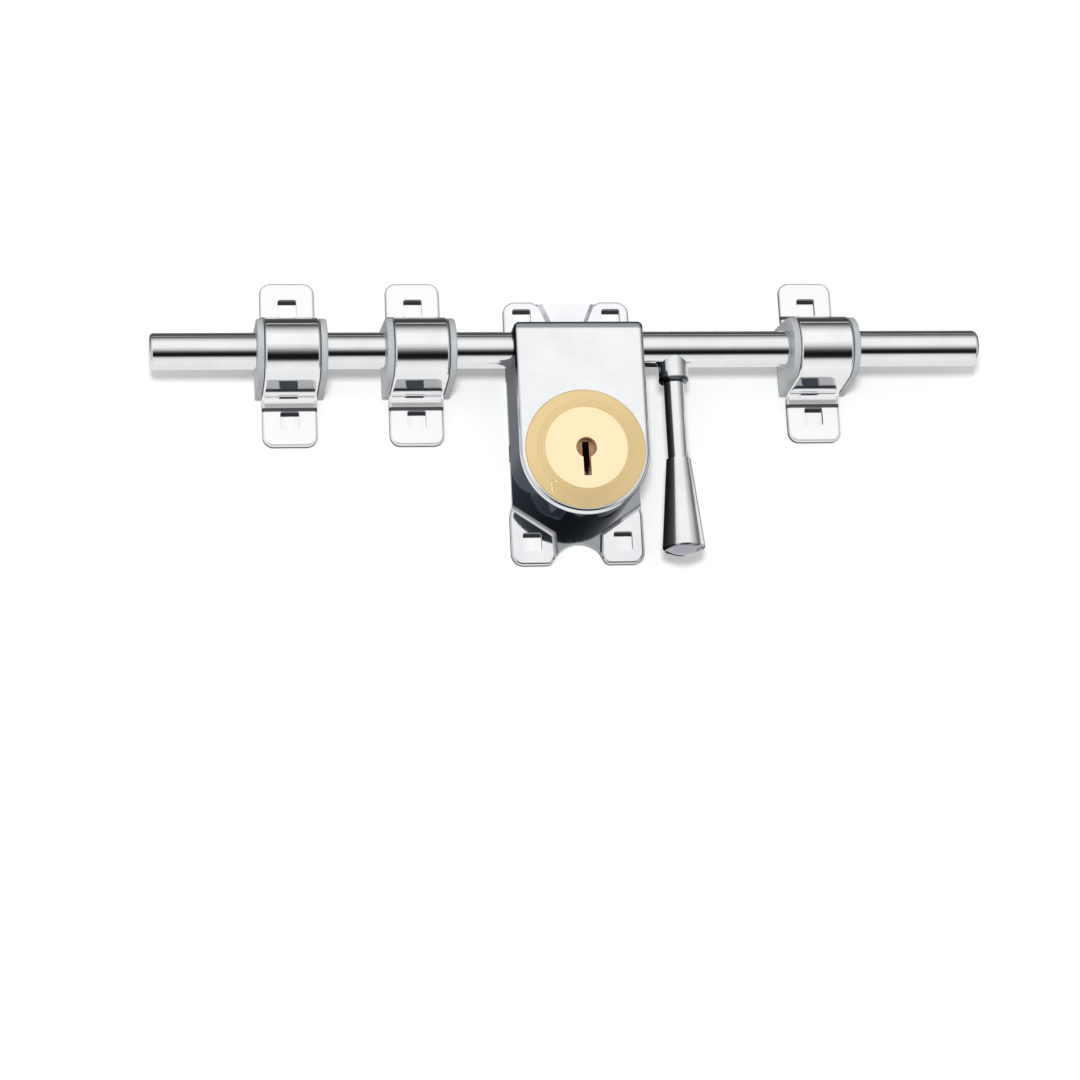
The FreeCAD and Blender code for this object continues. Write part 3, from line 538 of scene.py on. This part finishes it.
# Painted shade behind each strap, seen only by polished metal.
for place in bracket_places:
    low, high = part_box("bracket_strap_" + place)
    patches.append((low[0], high[0], low[2], high[2], 0.001, (0.05, 0.06, 0.07)))
for *rectangle, colour in patches:
    mirrored = mixed(tree, window(tree, *rectangle), mirrored, colour)
near = tree.nodes.new("ShaderNodeMath")
near.operation = "LESS_THAN"
near.inputs[1].default_value = touching_length
tree.links.new(ways.outputs["Ray Length"], near.inputs[0])
look = tree.nodes.new("ShaderNodeEmission")
tree.links.new(mirrored, look.inputs["Color"])
glossy = tree.nodes.new("ShaderNodeMixShader")
tree.links.new(ways.outputs["Is Glossy Ray"], glossy.inputs["Fac"])
tree.links.new(lit.outputs["Shader"], glossy.inputs[1])
tree.links.new(look.outputs["Emission"], glossy.inputs[2])


def seen_from_front(tree, shader_output, clear=None):
    """Makes a card clear from behind, and wherever a share says so."""
    gone = tree.nodes.new("ShaderNodeBsdfTransparent")
    shown = tree.nodes.new("ShaderNodeMixShader")
    behind = tree.nodes.new("ShaderNodeNewGeometry").outputs["Backfacing"]
    tree.links.new(behind if clear is None else joined(tree, "MAXIMUM", behind, clear), shown.inputs["Fac"])
    tree.links.new(shader_output, shown.inputs[1])
    tree.links.new(gone.outputs["BSDF"], shown.inputs[2])
    tree.links.new(shown.outputs["Shader"], tree.nodes["Material Output"].inputs["Surface"])


seen_from_front(tree, glossy.outputs["Shader"], near.outputs["Value"])
board.data.materials.append(material)

# Flags beside the handle: two narrow cards stand out from the board, one at each side of the handle.
# The camera doesn't see them, and they give the polished handle its dark left edge and its grey right one.


def flag(name, x, facing, depth, drop, levels):
    """Upright card with a grey that changes from the board outwards, seen only by polished metal on one side."""
    height = drop[1] - drop[0]
    card = flat_card(name, (x, -depth / 2, -drop[0] - height / 2), 90 * facing, "Y", height, depth)
    card.visible_camera = False
    card.visible_diffuse = False
    card.visible_shadow = False
    material, tree, _ = new_material(name)
    spots = tree.nodes.new("ShaderNodeSeparateXYZ")
    tree.links.new(tree.nodes.new("ShaderNodeTexCoord").outputs["Object"], spots.inputs["Vector"])
    out = tree.nodes.new("ShaderNodeMapRange")
    out.inputs["From Max"].default_value = -depth
    tree.links.new(spots.outputs["Y"], out.inputs["Value"])
    tone = tree.nodes.new("ShaderNodeEmission")
    tree.links.new(ramp(tree, out.outputs["Result"], grey_stops(levels)), tone.inputs["Color"])
    seen_from_front(tree, tone.outputs["Emission"])
    card.data.materials.append(material)


flag("flag_left", x=0.0262, facing=1, depth=0.028, drop=(0.0075, 0.078),
     levels=[(0.0, 0.008), (0.7, 0.012), (0.9, 0.06), (1.0, 0.20)])
flag("flag_right", x=0.0475, facing=-1, depth=0.0165, drop=(0.036, 0.085),
     levels=[(0.0, 0.75), (0.5, 0.50), (1.0, 0.20)])

# Lamp: one soft lamp in front of the lock, a little to the left and below, which throws the shadow on the board.
# Polished metal doesn't mirror it.


def soft_lamp(name, place, aim, size, power):
    """Square soft lamp at a place, aimed at another, left out of mirror images."""
    data = bpy.data.lights.new(name, "AREA")
    data.size = size
    data.energy = power
    lamp = bpy.data.objects.new(name, data)
    lamp.location = place
    lamp.rotation_euler = (Vector(aim) - Vector(place)).to_track_quat("-Z", "Y").to_euler()
    lamp.visible_glossy = False
    bpy.context.scene.collection.objects.link(lamp)


soft_lamp("lamp_front", place=(-0.19, -1.18, -0.10), aim=(0, 0, -0.02), size=0.16, power=10.5)

# Camera: stands a little to the left and below the lock, as the photograph's did, and leans by three degrees.
# Its values come from a fit to the lock's edges.
camera_azimuth = math.radians(9.15)
camera_elevation = math.radians(-14.56)
camera_lean = math.radians(-2.88)
camera_distance = 1.0
camera_target = Vector((-0.00985, 0.0, -0.03295))
focal_pixels = 2767.3
picture_pixels = 1080.0
centre_pixels = (545.48, 452.16)
sensor = 36.0
level = math.cos(camera_elevation)
back = Vector((-math.sin(camera_azimuth) * level, -math.cos(camera_azimuth) * level, math.sin(camera_elevation)))
right = (-back).cross(Vector((0, 0, 1))).normalized()
top = right.cross(-back)
leaned_right = right * math.cos(camera_lean) + top * math.sin(camera_lean)
leaned_top = top * math.cos(camera_lean) - right * math.sin(camera_lean)
camera_data = bpy.data.cameras.new("camera")
camera_data.sensor_width = sensor
camera_data.lens = sensor * focal_pixels / picture_pixels
camera_data.shift_x = (picture_pixels / 2 - centre_pixels[0]) / picture_pixels
camera_data.shift_y = (centre_pixels[1] - picture_pixels / 2) / picture_pixels
camera_data.clip_start = 0.01
camera = bpy.data.objects.new("camera", camera_data)
axes = Matrix((leaned_right, leaned_top, back)).transposed().to_4x4()
camera.matrix_world = Matrix.Translation(camera_target + back * camera_distance) @ axes
bpy.context.scene.collection.objects.link(camera)
bpy.context.scene.camera = camera
bpy.context.scene.view_settings.view_transform = "Standard"
